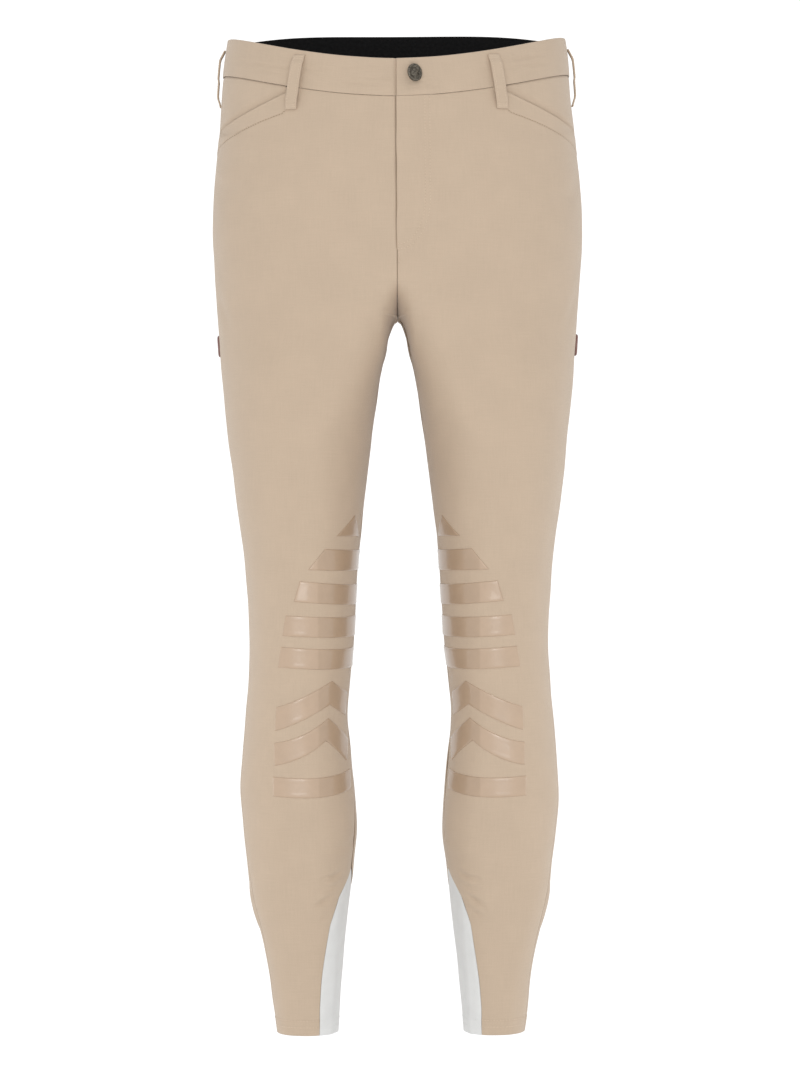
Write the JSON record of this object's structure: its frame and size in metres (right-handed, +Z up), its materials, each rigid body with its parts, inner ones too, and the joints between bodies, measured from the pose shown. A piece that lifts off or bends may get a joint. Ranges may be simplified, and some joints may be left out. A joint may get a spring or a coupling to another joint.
{
  "type": "riding breeches",
  "caption": "Slim riding breeches in beige stretch cloth, worn form, with slanted hip pockets, belt loops, fastened fly button, silicone knee grips and pale stretch ankle insets.",
  "frame": {"origin": "middle of the waist opening, level with its top edge at the side seams", "axes": "+Z up, the front faces -Y, the wearer's left is +X"},
  "size_m": [0.3698, 0.263, 1.0081],
  "materials": {
    "cloth": "beige four-way stretch twill, matt with a faint sheen",
    "inset": "white fine ribbed stretch knit",
    "elastic": "black ribbed elastic",
    "grip": "glossy beige silicone",
    "metal": "dark antique metal",
    "tab": "plain brown rubber tab"
  },
  "bodies": {
    "root": {"ankle_inset_left": "inset", "ankle_inset_right": "inset", "back_left": "cloth", "back_right": "cloth", "belt_loop_back": "cloth", "belt_loop_front_left": "cloth", "belt_loop_front_right": "cloth", "belt_loop_side_left": "cloth", "belt_loop_side_right": "cloth", "button": "metal", "fly_underlap": "cloth", "front_left": "cloth", "front_right": "cloth", "grip_left_1": "grip", "grip_left_2": "grip", "grip_left_3": "grip", "grip_left_4": "grip", "grip_left_5": "grip", "grip_left_6": "grip", "grip_left_7": "grip", "grip_left_8": "grip", "grip_right_1": "grip", "grip_right_2": "grip", "grip_right_3": "grip", "grip_right_4": "grip", "grip_right_5": "grip", "grip_right_6": "grip", "grip_right_7": "grip", "grip_right_8": "grip", "pocket_facing_left": "cloth", "pocket_facing_right": "cloth", "thigh_tab_left": "tab", "thigh_tab_right": "tab", "waistband_elastic": "elastic", "waistband_left": "cloth", "waistband_right": "cloth"}
  },
  "joints": []
}
